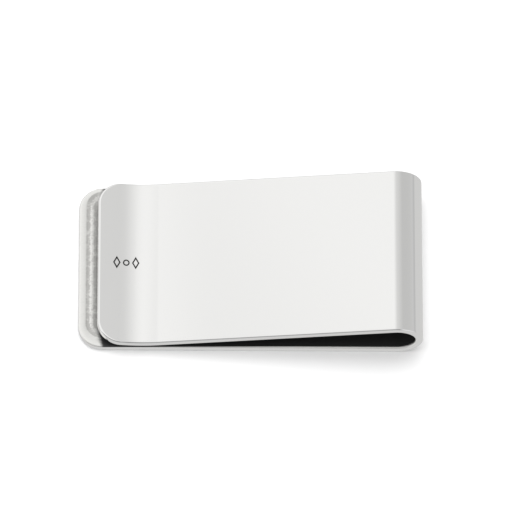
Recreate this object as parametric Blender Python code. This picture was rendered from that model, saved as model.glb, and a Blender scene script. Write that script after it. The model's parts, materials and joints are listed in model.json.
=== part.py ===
# Money clip folded from one strip of sterling silver, lying on its back leaf.
# +X points to the bend, Y runs across the width and +Z is up. The origin is under the
# clip, halfway along its length and width. Lengths are in metres.

import math

import bmesh
import bpy
from mathutils import Matrix, Vector

LENGTH = 0.0495
WIDTH = 0.0254
THICKNESS = 0.0011
BEND_RADIUS = 0.00375
FLARE_RADIUS = 0.020
LIP_ANGLE = math.radians(9.0)
TIP_SETBACK = 0.00275
PINCH_SETBACK = 0.0062
CORNER_RADIUS = 0.0034
EDGE_RADIUS = 0.0003
GAP = 0.0003

STAMP_SETBACK = 0.0041
STAMP_PITCH = 0.0014
STAMP_DEPTH = 0.00012
STAMP_DISC_RADIUS = 0.0005
LOZENGE_HALF_LENGTH = 0.00055
LOZENGE_HALF_WIDTH = 0.001

CORNER_SEGMENTS = 6
EDGE_SEGMENTS = 4
BEND_STATIONS = 26
FLARE_STATIONS = 8

# The middle of the strip's thickness: a U of radius MID_RADIUS, and a flare arc above
# the pinch line. The front leaf's straight run is tangent to both circles.
MID_RADIUS = BEND_RADIUS - THICKNESS / 2
BACK_TIP_X = -LENGTH / 2
FRONT_TIP_X = BACK_TIP_X + TIP_SETBACK
PINCH_X = FRONT_TIP_X + PINCH_SETBACK
PINCH_Z = 1.5 * THICKNESS + GAP
BEND_X = LENGTH / 2 - BEND_RADIUS
BEND_Z = BEND_RADIUS
HINGE = Vector((BEND_X, 0.0, BEND_Z))

RUN = BEND_X - PINCH_X
RISE = PINCH_Z + FLARE_RADIUS - BEND_Z
CENTRES = math.hypot(RUN, RISE)
RADII = MID_RADIUS + FLARE_RADIUS
SLOPE = math.asin(RADII / CENTRES) - math.atan2(RISE, RUN)

BACK_RUN = BEND_X - BACK_TIP_X
BEND_RUN = MID_RADIUS * (math.pi + SLOPE)
FRONT_RUN = math.sqrt(CENTRES ** 2 - RADII ** 2)
FLARE_RUN = FLARE_RADIUS * (SLOPE + LIP_ANGLE)
LIP_RUN = (PINCH_X - FLARE_RADIUS * math.sin(LIP_ANGLE) - FRONT_TIP_X) / math.cos(LIP_ANGLE)

# Each run of the fold is a length and a curvature, from the back leaf's tip onwards.
FOLD = (
    (BACK_RUN, 0.0),
    (BEND_RUN, 1.0 / MID_RADIUS),
    (FRONT_RUN, 0.0),
    (FLARE_RUN, -1.0 / FLARE_RADIUS),
    (LIP_RUN, 0.0),
)
BEND_START = BACK_RUN
BEND_END = BACK_RUN + BEND_RUN
FLARE_START = BEND_END + FRONT_RUN
FLARE_END = FLARE_START + FLARE_RUN
STRIP_LENGTH = FLARE_END + LIP_RUN


def remove_all_objects():
    for obj in list(bpy.data.objects):
        bpy.data.objects.remove(obj, do_unlink=True)


def silver(name, roughness):
    material = bpy.data.materials.new(name)
    material.use_nodes = True
    shader = material.node_tree.nodes["Principled BSDF"]
    shader.inputs["Base Color"].default_value = (0.90, 0.89, 0.87, 1.0)
    shader.inputs["Metallic"].default_value = 1.0
    shader.inputs["Roughness"].default_value = roughness
    return material


def fold_at(distance):
    """Place and heading of the folded strip's middle at a distance along the flat strip."""
    place = Vector((BACK_TIP_X, 0.0, THICKNESS / 2))
    heading = 0.0
    left = distance
    for index, (run, curvature) in enumerate(FOLD):
        step = left if index == len(FOLD) - 1 else min(left, run)
        turn = step * curvature
        if curvature == 0.0:
            offset = Vector((math.cos(heading), 0.0, math.sin(heading))) * step
        else:
            across = math.sin(heading + turn) - math.sin(heading)
            up = math.cos(heading) - math.cos(heading + turn)
            offset = Vector((across, 0.0, up)) / curvature
        place += offset
        heading += turn
        left -= step
        if left <= 0.0:
            break
    return place, heading


def inward(heading):
    """Direction from the strip's middle to the face that is inside the fold."""
    return Vector((-math.sin(heading), 0.0, math.cos(heading)))


def flat_strip():
    """The blank: a flat strip with rounded corners and rounded edges all round."""
    blank = bmesh.new()
    size = Matrix.Diagonal((STRIP_LENGTH, WIDTH, THICKNESS, 1.0))
    centre = Matrix.Translation((STRIP_LENGTH / 2, 0.0, 0.0))
    bmesh.ops.create_cube(blank, size=1.0, matrix=centre @ size)
    corners = [edge for edge in blank.edges if spans_thickness(edge)]
    bmesh.ops.bevel(
        blank, geom=corners, offset=CORNER_RADIUS, segments=CORNER_SEGMENTS, profile=0.5, affect="EDGES"
    )
    rims = [edge for edge in blank.edges if not spans_thickness(edge)]
    bmesh.ops.bevel(
        blank, geom=rims, offset=EDGE_RADIUS, segments=EDGE_SEGMENTS, profile=0.5, affect="EDGES"
    )
    return blank


def spans_thickness(edge):
    return abs(edge.verts[0].co.z - edge.verts[1].co.z) > THICKNESS / 2


def cut_across(strip, distance, **clear):
    geometry = strip.verts[:] + strip.edges[:] + strip.faces[:]
    bmesh.ops.bisect_plane(
        strip, geom=geometry, dist=1e-7, plane_co=(distance, 0.0, 0.0), plane_no=(1.0, 0.0, 0.0), **clear
    )


def cap_ends(strip):
    open_edges = [edge for edge in strip.edges if edge.is_boundary]
    bmesh.ops.holes_fill(strip, edges=open_edges, sides=0)
    # The normals are set while the strip is flat, and folding keeps them outward.
    bmesh.ops.recalc_face_normals(strip, faces=strip.faces[:])


def evenly(start, end, count):
    return [start + (end - start) * index / count for index in range(1, count)]


def folded_piece(name, start, end, stations, roughness, origin):
    """Cut one length out of the blank, fold it, and place its origin."""
    strip = flat_strip()
    if start is not None:
        cut_across(strip, start, clear_inner=True)
    if end is not None:
        cut_across(strip, end, clear_outer=True)
    cap_ends(strip)
    for distance in stations:
        cut_across(strip, distance)
    for vertex in strip.verts:
        place, heading = fold_at(vertex.co.x)
        across = Vector((0.0, vertex.co.y, 0.0))
        vertex.co = place + across + inward(heading) * vertex.co.z - origin
    mesh = bpy.data.meshes.new(name)
    strip.to_mesh(mesh)
    strip.free()
    mesh.shade_smooth()
    mesh.set_sharp_from_angle(angle=math.radians(40.0))
    mesh.materials.append(silver(name + "_silver", roughness))
    piece = bpy.data.objects.new(name, mesh)
    piece.location = origin
    bpy.context.scene.collection.objects.link(piece)
    return piece


def back_leaf():
    return folded_piece("back_leaf", None, BEND_START - GAP / 2, [], 0.10, Vector((0.0, 0.0, 0.0)))


def spring_bend():
    start = BEND_START + GAP / 2
    end = BEND_END - GAP / 2
    stations = evenly(start, end, BEND_STATIONS)
    return folded_piece("spring_bend", start, end, stations, 0.08, HINGE)


def front_leaf():
    stations = [FLARE_START] + evenly(FLARE_START, FLARE_END, FLARE_STATIONS) + [FLARE_END]
    return folded_piece("front_leaf", BEND_END + GAP / 2, None, stations, 0.06, HINGE)


def stamp_frame(setback):
    """A frame on the front leaf's outer face, with local Z pointing out of the metal."""
    place, heading = fold_at(STRIP_LENGTH - setback)
    out = -inward(heading)
    along = Vector((math.cos(heading), 0.0, math.sin(heading)))
    side = out.cross(along)
    turn = Matrix((along, side, out)).transposed().to_4x4()
    return Matrix.Translation(place + out * THICKNESS / 2) @ turn


def stamp_punch(segments, half_length, half_width, setback):
    """A prism that reaches STAMP_DEPTH into the metal."""
    punch = bmesh.new()
    shape = Matrix.Diagonal((half_length, half_width, 2 * STAMP_DEPTH, 1.0))
    bmesh.ops.create_cone(
        punch, cap_ends=True, segments=segments, radius1=1.0, radius2=1.0, depth=1.0,
        matrix=stamp_frame(setback) @ shape,
    )
    mesh = bpy.data.meshes.new("stamp_punch")
    punch.to_mesh(mesh)
    punch.free()
    cutter = bpy.data.objects.new("stamp_punch", mesh)
    cutter.hide_render = True
    cutter.display_type = "WIRE"
    bpy.context.scene.collection.objects.link(cutter)
    return cutter


def stamp(leaf):
    """Three plain shapes in a row: a lozenge, a disc and a lozenge."""
    punches = (
        stamp_punch(4, LOZENGE_HALF_LENGTH, LOZENGE_HALF_WIDTH, STAMP_SETBACK - STAMP_PITCH),
        stamp_punch(16, STAMP_DISC_RADIUS, STAMP_DISC_RADIUS, STAMP_SETBACK),
        stamp_punch(4, LOZENGE_HALF_LENGTH, LOZENGE_HALF_WIDTH, STAMP_SETBACK + STAMP_PITCH),
    )
    for punch in punches:
        cut = leaf.modifiers.new("stamp", "BOOLEAN")
        cut.operation = "DIFFERENCE"
        cut.solver = "EXACT"
        cut.object = punch


remove_all_objects()
back_leaf()
spring_bend()
stamp(front_leaf())
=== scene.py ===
import json
import math

import bmesh
import bpy
from mathutils import Matrix, Vector


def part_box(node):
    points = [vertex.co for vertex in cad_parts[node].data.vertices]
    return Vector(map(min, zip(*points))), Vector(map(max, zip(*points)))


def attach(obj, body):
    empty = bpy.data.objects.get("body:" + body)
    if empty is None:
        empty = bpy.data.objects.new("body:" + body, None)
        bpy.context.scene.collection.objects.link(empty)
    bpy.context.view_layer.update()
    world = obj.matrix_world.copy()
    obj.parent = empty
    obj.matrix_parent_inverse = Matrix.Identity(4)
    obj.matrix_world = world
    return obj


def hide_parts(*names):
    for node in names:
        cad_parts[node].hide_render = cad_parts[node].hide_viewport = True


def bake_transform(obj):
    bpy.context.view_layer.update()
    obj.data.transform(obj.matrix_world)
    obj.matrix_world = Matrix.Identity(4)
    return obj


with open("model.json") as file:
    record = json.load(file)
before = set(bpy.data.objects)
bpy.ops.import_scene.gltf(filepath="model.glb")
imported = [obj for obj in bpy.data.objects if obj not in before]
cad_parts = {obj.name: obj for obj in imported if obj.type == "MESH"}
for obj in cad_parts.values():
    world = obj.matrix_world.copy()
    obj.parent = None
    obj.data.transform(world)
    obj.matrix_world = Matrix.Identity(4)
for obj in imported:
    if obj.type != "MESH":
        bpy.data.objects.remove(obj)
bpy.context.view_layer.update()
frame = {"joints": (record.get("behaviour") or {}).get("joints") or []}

millimetre = 0.001


# One strip of silver is folded into a U. fold describes the line along the middle of its thickness.
fold = {
    "flareRadius": 20.0 * millimetre,
    "lipAngle": math.radians(9.0),
    "pinchSetback": 6.2 * millimetre,   # from the front leaf's tip to the pinch line
    "pinchGap": 0.3 * millimetre,
    "cornerRadius": 3.4 * millimetre,
    "edgeRadius": 0.3 * millimetre,
}

backLow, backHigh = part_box("back_leaf")
frontLow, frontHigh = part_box("front_leaf")
hinge = Vector(frame["joints"][0]["pos_m"])
stripWidth = round(backHigh.y - backLow.y, 6)
thickness = round(backHigh.z - backLow.z, 6)
backTip = round(backLow.x, 5)
frontTip = round(frontLow.x, 4)
middleRadius = hinge.z - thickness / 2
pinchX = frontTip + fold["pinchSetback"]


def foldRuns():
    # lengths and curvatures of the fold, from the back leaf's tip to the front leaf's
    run = hinge.x - pinchX
    rise = 1.5 * thickness + fold["pinchGap"] + fold["flareRadius"] - hinge.z
    radii = middleRadius + fold["flareRadius"]
    slope = math.asin(radii / math.hypot(run, rise)) - math.atan2(rise, run)
    straight = math.sqrt(run ** 2 + rise ** 2 - radii ** 2)
    lipStart = pinchX - fold["flareRadius"] * math.sin(fold["lipAngle"])
    return [
        (hinge.x - backTip, 0.0),
        (middleRadius * (math.pi + slope), 1 / middleRadius),
        (straight, 0.0),
        (fold["flareRadius"] * (slope + fold["lipAngle"]), -1 / fold["flareRadius"]),
        ((lipStart - frontTip) / math.cos(fold["lipAngle"]), 0.0),
    ]


runs = foldRuns()
bendStart = runs[0][0]
bendEnd = bendStart + runs[1][0]
flareStart = bendEnd + runs[2][0]
flareEnd = flareStart + runs[3][0]
stripLength = flareEnd + runs[4][0]
seamRun = 0.3 * millimetre       # the seams lie this far out on the flat, past the bend


def foldAt(distance):
    # place and heading of the folded strip's middle
    place = Vector((backTip, 0, thickness / 2))
    heading = 0.0
    left = distance
    for index, (run, curvature) in enumerate(runs):
        step = left if index == len(runs) - 1 else min(left, run)
        turn = step * curvature
        if curvature == 0:
            place += Vector((math.cos(heading), 0, math.sin(heading))) * step
        else:
            along = math.sin(heading + turn) - math.sin(heading)
            up = math.cos(heading) - math.cos(heading + turn)
            place += Vector((along, 0, up)) / curvature
        heading += turn
        left -= step
        if left <= 0:
            break
    return place, heading


class Wire:
    # one socket of a node, so that maths on it reads as plain arithmetic
    def __init__(self, bench, socket):
        self.bench = bench
        self.socket = socket

    def maths(self, operation, first, second):
        return self.bench.node("ShaderNodeMath", {"operation": operation}, {0: first, 1: second})

    def __add__(self, other):
        return self.maths("ADD", self, other)

    def __radd__(self, other):
        return self.maths("ADD", other, self)

    def __sub__(self, other):
        return self.maths("SUBTRACT", self, other)

    def __rsub__(self, other):
        return self.maths("SUBTRACT", other, self)

    def __mul__(self, other):
        return self.maths("MULTIPLY", self, other)

    def __rmul__(self, other):
        return self.maths("MULTIPLY", other, self)

    def __pow__(self, other):
        return self.maths("POWER", self, other)

    def larger(self, other):
        return self.maths("MAXIMUM", self, other)

    def unsigned(self):
        return self.maths("ABSOLUTE", self, 0.0)

    def ramp(self, low, high, start=0.0, end=1.0, kind="SMOOTHSTEP"):
        # start below low, end above high, smooth between them
        sockets = {0: self, 1: low, 2: high, 3: start, 4: end}
        return self.bench.node("ShaderNodeMapRange", {"interpolation_type": kind}, sockets)

    def past(self, limit, softness):
        # 0 below the limit and 1 above it
        return self.ramp(limit - softness, limit + softness)

    def fade(self, low, high, start, end):
        # the same in a straight line
        return self.ramp(low, high, start, end, "LINEAR")


class Bench:
    # a node tree being wired
    def __init__(self, owner):
        owner.use_nodes = True
        self.tree = owner.node_tree
        self.tree.nodes.clear()

    def node(self, kind, settings=None, sockets=None, output=0):
        made = self.tree.nodes.new(kind)
        for name, value in (settings or {}).items():
            if name == "stops":
                self.fillRamp(made.color_ramp, value)
            else:
                setattr(made, name, value)
        for key, value in (sockets or {}).items():
            if isinstance(value, Wire):
                self.tree.links.new(value.socket, made.inputs[key])
            else:
                made.inputs[key].default_value = value
        if isinstance(output, tuple):
            return [Wire(self, made.outputs[name]) for name in output]
        return Wire(self, made.outputs[output]) if made.outputs else None

    def fillRamp(self, ramp, stops):
        while len(ramp.elements) < len(stops):
            ramp.elements.new(1.0)
        for element, (position, colour) in zip(ramp.elements, stops):
            element.position = position
            element.color = colour

    def place(self):
        # the point on the object, in metres
        return self.node("ShaderNodeTexCoord", output="Object")

    def split(self, vector):
        return self.node("ShaderNodeSeparateXYZ", {}, {"Vector": vector}, ("X", "Y", "Z"))

    def stretched(self, scale):
        return self.node("ShaderNodeMapping", {}, {"Vector": self.place(), "Scale": scale})

    def noise(self, vector, scale, detail=2.0, roughness=0.5):
        sockets = {"Vector": vector, "Scale": scale, "Detail": detail, "Roughness": roughness}
        return self.node("ShaderNodeTexNoise", {}, sockets, "Fac")

    def blendColour(self, amount, first, second):
        sockets = {"Factor": amount, 6: first, 7: second}
        return self.node("ShaderNodeMix", {"data_type": "RGBA"}, sockets, 2)

    def bump(self, height, depth, after=None):
        sockets = {"Height": height, "Distance": depth, "Strength": 1.0}
        if after is not None:
            sockets["Normal"] = after
        return self.node("ShaderNodeBump", {}, sockets, "Normal")

    def surface(self, sockets):
        shader = self.node("ShaderNodeBsdfPrincipled", {}, sockets)
        self.node("ShaderNodeOutputMaterial", {}, {"Surface": shader})


def newMaterial(name):
    material = bpy.data.materials.new(name)
    return material, Bench(material)


polish = {
    "colour": (0.933, 0.930, 0.926, 1),
    "roughness": 0.035,
    "haze": 0.03,                       # roughness that handling adds in patches
    "patchScale": 260.0,
    "waveScale": 45.0,
    "waveDepth": 0.012 * millimetre,    # hand polishing leaves the flats very slightly wavy
    "hairlineScale": (300, 9000, 3000), # long hairlines along the strip
    "scratchDepth": 0.00015 * millimetre,
}


def polishedSilver():
    material, bench = newMaterial("polishedSilver")
    wave = bench.noise(bench.place(), polish["waveScale"], 1.0)
    hairlines = bench.noise(bench.stretched(polish["hairlineScale"]), 1.0, 3.0, 0.6)
    patches = bench.noise(bench.place(), polish["patchScale"], 4.0, 0.6).ramp(0.45, 0.75)
    scratched = bench.bump(hairlines, polish["scratchDepth"])
    bench.surface({
        "Base Color": polish["colour"],
        "Metallic": 1.0,
        "Roughness": patches * polish["haze"] + polish["roughness"],
        "Normal": bench.bump(wave, polish["waveDepth"], scratched),
    })
    return material


inner = {
    # bright satin, which also colours the painted highlight band and the painted reflection stripe; the
    # dull colour is the greyer satin around them
    "satinColour": (0.94, 0.935, 0.915, 1),
    "dullColour": (0.60, 0.595, 0.58, 1),
    # colour of the painted shade under the front leaf and inside the fold
    "darkColour": (0.030, 0.030, 0.030, 1),
    "roughness": 0.36,
    "softness": 0.12 * millimetre,      # how gradually the painted highlights fade into the duller satin
    "wander": 0.4 * millimetre,         # how unevenly the painted highlight lines run
    "bandEnd": 1.06 * millimetre,       # a painted highlight band runs inside the open tip's outline
    "bandShift": 0.42 * millimetre,     # a little wider on the near side
    "stripeStart": 1.62 * millimetre,   # and then a bright stripe, a painted reflection of the front leaf's edge
    "stripeEnd": 2.15 * millimetre,
    "stripeFadeStart": 8.0 * millimetre,    # it fades towards the far corner
    "stripeFadeEnd": 11.5 * millimetre,
    "shadeStart": frontTip - 0.38 * millimetre,  # painted shade, near-black, begins just under the front leaf's tip, where its shadow falls
    "shadeEnd": frontTip + 0.34 * millimetre,
    "shadeWander": 0.5 * millimetre,
    "shadeBow": 0.7 * millimetre,       # and further in at the long edges
    "unshadedRim": 0.03 * millimetre,      # the painted shade stops short of the lit long edges, wider towards the bend
    "unshadedRimGain": 0.0078,
    "rimSoftness": 0.03 * millimetre,
    "grainScale": (1600, 6500, 3000),   # satin grain along the strip
    "grainDepth": 0.004 * millimetre,
    "cloudScale": 3600.0,
    "cloudMottle": 1.8,
    "blotchScale": 1300.0,
    "blotchMottle": 1.9,
}


def insideOutline(along, across):
    # how far in a point is from the open tip's rounded outline
    radius = fold["cornerRadius"]
    endwards = (backTip + radius - along).larger(0.0)
    sidewards = (across.unsigned() - (stripWidth / 2 - radius)).larger(0.0)
    return radius - (endwards * endwards + sidewards * sidewards) ** 0.5


def innerSilver():
    # satin at the back leaf's open tip, with a painted highlight band and a painted reflection stripe,
    # and near-black painted shade under the front leaf and inside the fold
    material, bench = newMaterial("innerSilver")
    along, across, up = bench.split(bench.place())
    cloud = bench.noise(bench.place(), inner["cloudScale"], 5.0, 0.75) - 0.5
    grain = bench.noise(bench.stretched(inner["grainScale"]), 1.0, 4.0, 0.7)
    inside = insideOutline(along, across - inner["bandShift"]) + cloud * inner["wander"]
    band = 1 - inside.past(inner["bandEnd"], inner["softness"])
    stripe = inside.past(inner["stripeStart"], inner["softness"])
    stripe *= 1 - inside.past(inner["stripeEnd"], inner["softness"])
    stripe *= across.ramp(inner["stripeFadeStart"], inner["stripeFadeEnd"], 1.0, 0.25)
    # painted highlight band and painted reflection stripe, mixed with random satin grain and mottle
    highlightsAndMottle = band.larger(stripe * (0.9 + cloud * 1.6)) * (0.95 + cloud * 0.6) + grain * 0.6 - 0.26
    blotch = bench.noise(bench.place(), inner["blotchScale"], 2.0, 0.5) - 0.5
    highlightsAndMottle += (cloud * inner["cloudMottle"] + blotch * inner["blotchMottle"]) * (1 - band)
    satin = bench.blendColour(highlightsAndMottle, inner["dullColour"], inner["satinColour"])
    edgeward = across * across * (4 / stripWidth ** 2)
    bowed = edgeward * edgeward * edgeward * inner["shadeBow"]
    edge = along - bowed + cloud * inner["shadeWander"]
    # painted shade: the base colour goes near-black from just under the front leaf's tip inwards, where
    # shade falls
    paintedShade = edge.ramp(inner["shadeStart"], inner["shadeEnd"])
    rimWidth = (along - frontTip).larger(0.0) * inner["unshadedRimGain"] + inner["unshadedRim"]
    paintedShade *= (stripWidth / 2 - across.unsigned() - rimWidth).past(0.0, inner["rimSoftness"])
    bench.surface({
        "Base Color": bench.blendColour(paintedShade, satin, inner["darkColour"]),
        "Metallic": 1.0 - paintedShade * 0.6,
        "Roughness": grain * 0.16 + inner["roughness"] - band * 0.1 + paintedShade * 0.15,
        "Normal": bench.bump(grain + cloud, inner["grainDepth"]),
    })
    return material


# near-black in the stamps' recesses: painted shade in the hollows, together with oxide
shadeAndOxide = {
    "darkest": (0.010, 0.010, 0.011, 1),
    "lightest": (0.035, 0.034, 0.032, 1),
    "roughness": 0.5,
    "grainScale": 6000.0,
    "grainDepth": 0.003 * millimetre,
}


def shadeAndOxideSilver():
    material, bench = newMaterial("shadeAndOxideSilver")
    grain = bench.noise(bench.place(), shadeAndOxide["grainScale"], 3.0)
    bench.surface({
        "Base Color": bench.blendColour(grain, shadeAndOxide["darkest"], shadeAndOxide["lightest"]),
        "Metallic": 0.2,
        "Roughness": grain * 0.2 + shadeAndOxide["roughness"],
        "Normal": bench.bump(grain, shadeAndOxide["grainDepth"]),
    })
    return material


finishes = [polishedSilver(), innerSilver(), shadeAndOxideSilver()]
polishedIndex, innerIndex, blackIndex = 0, 1, 2
print("finishes ready")


detail = {
    "cornerSegments": 28,
    "edgeSegments": 10,
    "edgeMargin": 0.03 * millimetre,    # narrow ring that keeps the flats flat in shading
    "bendStations": 120,
    "flareStations": 40,
    "sharpAngle": math.radians(40),
    "innerLean": math.cos(math.radians(65)),   # the inner material, with its painted shade and painted highlights, runs this far round the rim
}


def spansThickness(edge):
    return abs(edge.verts[0].co.z - edge.verts[1].co.z) > thickness / 2


def flatStrip():
    # the blank before folding: X runs from the back leaf's tip, and +Z ends up inside
    strip = bmesh.new()
    size = Matrix.Diagonal((stripLength, stripWidth, thickness, 1))
    bmesh.ops.create_cube(strip, size=1, matrix=Matrix.Translation((stripLength / 2, 0, 0)) @ size)
    corners = [e for e in strip.edges if spansThickness(e)]
    bevel(strip, corners, fold["cornerRadius"], detail["cornerSegments"])
    rims = [e for e in strip.edges if not spansThickness(e)]
    bevel(strip, rims, fold["edgeRadius"], detail["edgeSegments"])
    flats = [f for f in strip.faces if abs(f.normal.z) > 0.999]
    for flat in flats:
        bmesh.ops.inset_region(strip, faces=[flat], thickness=detail["edgeMargin"], use_even_offset=True)
    for face in strip.faces:
        face.material_index = innerIndex if face.normal.z > detail["innerLean"] else polishedIndex
    return strip


def bevel(mesh, edges, radius, segments):
    bmesh.ops.bevel(
        mesh, geom=edges, offset=radius, offset_type="OFFSET", segments=segments,
        profile=0.5, affect="EDGES", material=-1, clamp_overlap=True,
    )


def cutAcross(strip, distance, **clear):
    geometry = strip.verts[:] + strip.edges[:] + strip.faces[:]
    bmesh.ops.bisect_plane(
        strip, geom=geometry, dist=1e-7, plane_co=(distance, 0, 0), plane_no=(1, 0, 0), **clear
    )


def evenly(start, end, count):
    return [start + (end - start) * index / count for index in range(count + 1)]


def objectFrom(strip, name):
    mesh = bpy.data.meshes.new(name)
    strip.to_mesh(mesh)
    strip.free()
    for finish in finishes:
        mesh.materials.append(finish)
    made = bpy.data.objects.new(name, mesh)
    bpy.context.scene.collection.objects.link(made)
    return made


def foldedPiece(strip, name, start, end, stations):
    # cut one length out of the strip and fold it
    if start > 0:
        cutAcross(strip, start, clear_inner=True)
    if end < stripLength:
        cutAcross(strip, end, clear_outer=True)
    openEdges = [e for e in strip.edges if e.is_boundary]
    bmesh.ops.holes_fill(strip, edges=openEdges, sides=0)
    bmesh.ops.recalc_face_normals(strip, faces=strip.faces[:])  # while it is flat; folding keeps them
    for distance in stations:
        cutAcross(strip, distance)
    for face in strip.faces:
        face.smooth = True
    for edge in strip.edges:
        edge.smooth = edge.calc_face_angle(0.0) < detail["sharpAngle"]
    for vertex in strip.verts:
        place, heading = foldAt(vertex.co.x)
        inward = Vector((-math.sin(heading), 0, math.cos(heading)))
        vertex.co = place + Vector((0, vertex.co.y, 0)) + inward * vertex.co.z
    return objectFrom(strip, name)


# The back leaf's open tip is worked: inside its outline runs a low step and then a low bead.
tipBorder = {
    "steps": (                          # distance further in, and height there
        (0.58 * millimetre, 0.0),
        (0.22 * millimetre, -0.060 * millimetre),
        (0.47 * millimetre, -0.060 * millimetre),
        (0.20 * millimetre, -0.015 * millimetre),
        (0.16 * millimetre, -0.010 * millimetre),
        (0.20 * millimetre, -0.060 * millimetre),
    ),
    "flatArea": 50 * millimetre ** 2,   # only the broad inner flat is larger than this
    "fadeStart": 5.0 * millimetre,      # it runs out under the front leaf
    "fadeEnd": 9.0 * millimetre,
}


def workTip(strip):
    cutAcross(strip, tipBorder["fadeStart"])
    cutAcross(strip, tipBorder["fadeEnd"])
    inside = [f for f in strip.faces if f.material_index == innerIndex]
    region = [f for f in inside if f.calc_area() > tipBorder["flatArea"]]
    fadeRun = tipBorder["fadeEnd"] - tipBorder["fadeStart"]
    for width, height in tipBorder["steps"]:
        bmesh.ops.inset_region(strip, faces=region, thickness=width, use_even_offset=True)
        rim = {vertex for face in region for vertex in face.verts}
        for vertex in rim:
            faded = (vertex.co.x - tipBorder["fadeStart"]) / fadeRun
            vertex.co.z = thickness / 2 + height * (1 - min(max(faded, 0), 1))
    return strip


def makeBackLeaf():
    leaf = foldedPiece(workTip(flatStrip()), "backLeafStrip", 0, bendStart - seamRun, [])
    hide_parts("back_leaf")
    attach(leaf, "back")


def makeBend():
    stations = evenly(bendStart, bendEnd, detail["bendStations"])
    bend = foldedPiece(flatStrip(), "bendStrip", bendStart - seamRun, bendEnd + seamRun, stations)
    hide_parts("spring_bend")
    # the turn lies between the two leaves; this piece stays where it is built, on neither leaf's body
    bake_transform(bend)


stamp = {
    "setback": 4.1 * millimetre,        # from the front leaf's tip to the middle of the row
    "pitch": 1.4 * millimetre,
    "depth": 0.12 * millimetre,
    "groove": 0.2 * millimetre,         # each shape is a groove around a raised middle
    "discRadius": 0.5 * millimetre,
    "discSegments": 40,
    "lozengeHalfLength": 0.55 * millimetre,
    "lozengeHalfWidth": 1.0 * millimetre,
}


def stampPunch(segments, halfLength, halfWidth, setback):
    punch = bmesh.new()
    low = Matrix.Translation((stripLength - setback, 0, -thickness / 2 - stamp["depth"]))
    shape = Matrix.Diagonal((halfLength, halfWidth, 1, 1))
    bmesh.ops.create_circle(punch, cap_ends=True, segments=segments, radius=1, matrix=low @ shape)
    middle = punch.faces[:]
    bmesh.ops.inset_region(
        punch, faces=middle, thickness=stamp["groove"], use_boundary=True, use_even_offset=True
    )
    bmesh.ops.delete(punch, geom=middle, context="FACES")
    ring = punch.verts[:] + punch.edges[:] + punch.faces[:]
    raised = bmesh.ops.extrude_face_region(punch, geom=ring, use_keep_orig=True)["geom"]
    corners = [item for item in raised if isinstance(item, bmesh.types.BMVert)]
    bmesh.ops.translate(punch, verts=corners, vec=(0, 0, 2 * stamp["depth"]))
    bmesh.ops.recalc_face_normals(punch, faces=punch.faces[:])
    # the cut walls and floors of the stamps take the near-black painted shade with oxide
    for face in punch.faces:
        face.material_index = blackIndex
    return objectFrom(punch, "stampPunch")


def stamped(strip):
    # a lozenge, a disc and a lozenge in a row, cut into the outer face before folding
    blank = objectFrom(strip, "stampBlank")
    lozenge = (4, stamp["lozengeHalfLength"], stamp["lozengeHalfWidth"])
    disc = (stamp["discSegments"], stamp["discRadius"], stamp["discRadius"])
    punches = [
        stampPunch(*lozenge, stamp["setback"] - stamp["pitch"]),
        stampPunch(*disc, stamp["setback"]),
        stampPunch(*lozenge, stamp["setback"] + stamp["pitch"]),
    ]
    for punch in punches:
        cut = blank.modifiers.new("stamp", "BOOLEAN")
        cut.operation = "DIFFERENCE"
        cut.solver = "EXACT"
        cut.object = punch
    bpy.context.view_layer.update()
    done = bmesh.new()
    done.from_object(blank, bpy.context.evaluated_depsgraph_get())
    for spent in [blank] + punches:
        bpy.data.objects.remove(spent, do_unlink=True)
    return done


def makeFrontLeaf():
    stations = evenly(flareStart, flareEnd, detail["flareStations"])
    leaf = foldedPiece(stamped(flatStrip()), "frontLeafStrip", bendEnd + seamRun, stripLength, stations)
    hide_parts("front_leaf")
    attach(leaf, "front")


makeBackLeaf()
print("back leaf folded")
makeBend()
print("bend folded")
makeFrontLeaf()
print("front leaf folded")


studio = {
    "floorSide": 6.0,
    "floorColour": (0.92, 0.92, 0.92, 1),
    "floorDrop": 0.02 * millimetre,     # just under the clip, so that no two faces share a plane
    "tableGlow": 0.64,                  # the polished metal sees a greyer table than the eye does
    "keyStrength": 2.05,
    "keyAngle": math.radians(60),
    "keyFrom": Vector((0.0, 0.18, 0.98)),
}


def makeSheet(name, side, place):
    mesh = bpy.data.meshes.new(name)
    sheet = bmesh.new()
    bmesh.ops.create_grid(sheet, x_segments=1, y_segments=1, size=side / 2)
    bmesh.ops.translate(sheet, verts=sheet.verts[:], vec=place)
    sheet.to_mesh(mesh)
    sheet.free()
    material, bench = newMaterial(name + "Paint")
    mesh.materials.append(material)
    plane = bpy.data.objects.new(name, mesh)
    bpy.context.scene.collection.objects.link(plane)
    return plane, bench


def makeCard(name, side, place):
    # a glowing sheet that only reflections see
    card, bench = makeSheet(name, side, place)
    card.visible_camera = False
    card.visible_diffuse = False
    card.visible_shadow = False
    card.visible_transmission = False
    return bench


def glow(bench, strength):
    shader = bench.node("ShaderNodeEmission", {}, {"Color": (1, 1, 0.99, 1), "Strength": strength})
    bench.node("ShaderNodeOutputMaterial", {}, {"Surface": shader})


def makeFloor():
    drop = studio["floorDrop"]
    floor, bench = makeSheet("floor", studio["floorSide"], (0, 0, -drop))
    bench.surface({"Base Color": studio["floorColour"], "Roughness": 0.9, "Specular IOR Level": 0.0})
    glow(makeCard("tableCard", studio["floorSide"], (0, 0, -drop / 2)), studio["tableGlow"])


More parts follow.
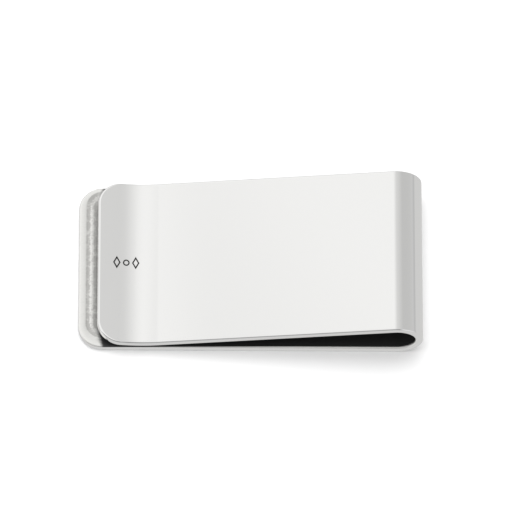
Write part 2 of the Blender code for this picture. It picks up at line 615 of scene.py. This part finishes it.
# Each run of tone is where it starts, where it ends, the tone before and the tone after.
canopy = {
    "height": 0.19,
    "side": 1.2,
    "front": -0.13,                     # it is open in front of this, where the camera looks in
    "turn": (-0.024, 0.036, 0.94, 0.69),    # white over the leaf, grey over the bend
    "fall": (0.036, 0.11, 0.0, -0.13),
    "lift": (0.2, 0.6, 0.0, 0.03),
    "creaseStart": (-0.069, -0.056),
    "creaseEnd": (-0.018, 0.02, 1.0, 0.0),
    "creaseSlant": 0.52,
    "creaseDepth": 0.05,
}


def makeCanopy():
    # a light canopy close above, falling to grey on the right, with one faint slanting crease
    middle = canopy["front"] + canopy["side"] / 2
    bench = makeCard("canopy", canopy["side"], (0, middle, canopy["height"]))
    toRight, toBack, up = bench.split(bench.place())
    wall = toRight.ramp(*canopy["turn"]) + toRight.fade(*canopy["fall"]) + toRight.fade(*canopy["lift"])
    slanted = toRight + toBack * canopy["creaseSlant"]
    crease = toRight.ramp(*canopy["creaseStart"]) * slanted.ramp(*canopy["creaseEnd"])
    glow(bench, wall * (1.0 - crease * canopy["creaseDepth"]))


tent = {
    "turn": (-0.25, 0.40, 0.94, 0.57),
    "lift": (0.55, 0.95, 0.0, 0.03),
    "horizon": (0.10, 0.24, 0.88, 1.0),     # a little darker near the table
    "frontReach": (-0.5, -0.15, 1.0, 0.0),
    "frontFoot": (0.02, 0.12),
    "frontTop": (0.75, 0.95, 1.0, 0.0),
    "frontDark": 0.6,                   # the open front is darker
    "frontRight": (0.10, 0.40),         # except towards the right, where it is lit
    "frontRightLift": 1.0,
}


def makeTent():
    # white walls beyond the canopy, greyer on the right
    world = bpy.data.worlds.new("lightTent")
    bpy.context.scene.world = world
    bench = Bench(world)
    toRight, toBack, upwards = bench.split(bench.node("ShaderNodeTexCoord", output="Generated"))
    wall = toRight.ramp(*tent["turn"]) + toRight.ramp(*tent["lift"])
    front = toBack.ramp(*tent["frontReach"])
    front *= upwards.ramp(*tent["frontFoot"]) * upwards.ramp(*tent["frontTop"])
    frontRight = front * toRight.ramp(*tent["frontRight"])
    openFront = 1 - front * tent["frontDark"] + frontRight * tent["frontRightLift"]
    light = wall * upwards.ramp(*tent["horizon"]) * openFront
    shader = bench.node("ShaderNodeBackground", {}, {"Color": (1, 1, 1, 1), "Strength": light})
    bench.node("ShaderNodeOutputWorld", {}, {"Surface": shader})


def makeKeyLight():
    key = bpy.data.lights.new("keyLight", "SUN")
    key.energy = studio["keyStrength"]
    key.angle = studio["keyAngle"]
    lamp = bpy.data.objects.new("keyLight", key)
    lamp.rotation_euler = studio["keyFrom"].to_track_quat("Z", "Y").to_euler()
    lamp.visible_glossy = False         # it brightens the floor, and the metal mirrors only the tent
    bpy.context.scene.collection.objects.link(lamp)


makeFloor()
makeCanopy()
makeTent()
makeKeyLight()
print("studio ready")


view = {
    "azimuth": math.radians(-1.82),
    "elevation": math.radians(64.58),
    "roll": math.radians(-2.00),
    "distance": 1.182,
    "lens": 572.015,
    "sensor": 36.0,
    "aimRight": 1.06457 * millimetre,    # the camera aims this far from the origin, across its view
    "aimUp": 1.98613 * millimetre,
}


def makeCamera():
    azimuth = view["azimuth"]
    elevation = view["elevation"]
    level = math.cos(elevation)
    back = Vector((math.sin(azimuth) * level, -math.cos(azimuth) * level, math.sin(elevation)))
    right = Vector((math.cos(azimuth), math.sin(azimuth), 0))
    up = back.cross(right)
    turn = Matrix((right, up, back)).transposed() @ Matrix.Rotation(-view["roll"], 3, "Z")
    aim = turn @ Vector((view["aimRight"], view["aimUp"], 0))
    data = bpy.data.cameras.new("camera")
    data.sensor_width = view["sensor"]
    data.lens = view["lens"]
    data.clip_start = 0.01
    data.clip_end = 20
    camera = bpy.data.objects.new("camera", data)
    camera.matrix_world = Matrix.Translation(aim + back * view["distance"]) @ turn.to_4x4()
    bpy.context.scene.collection.objects.link(camera)
    bpy.context.scene.camera = camera


makeCamera()
bpy.context.scene.view_settings.view_transform = "Standard"
print("camera ready")
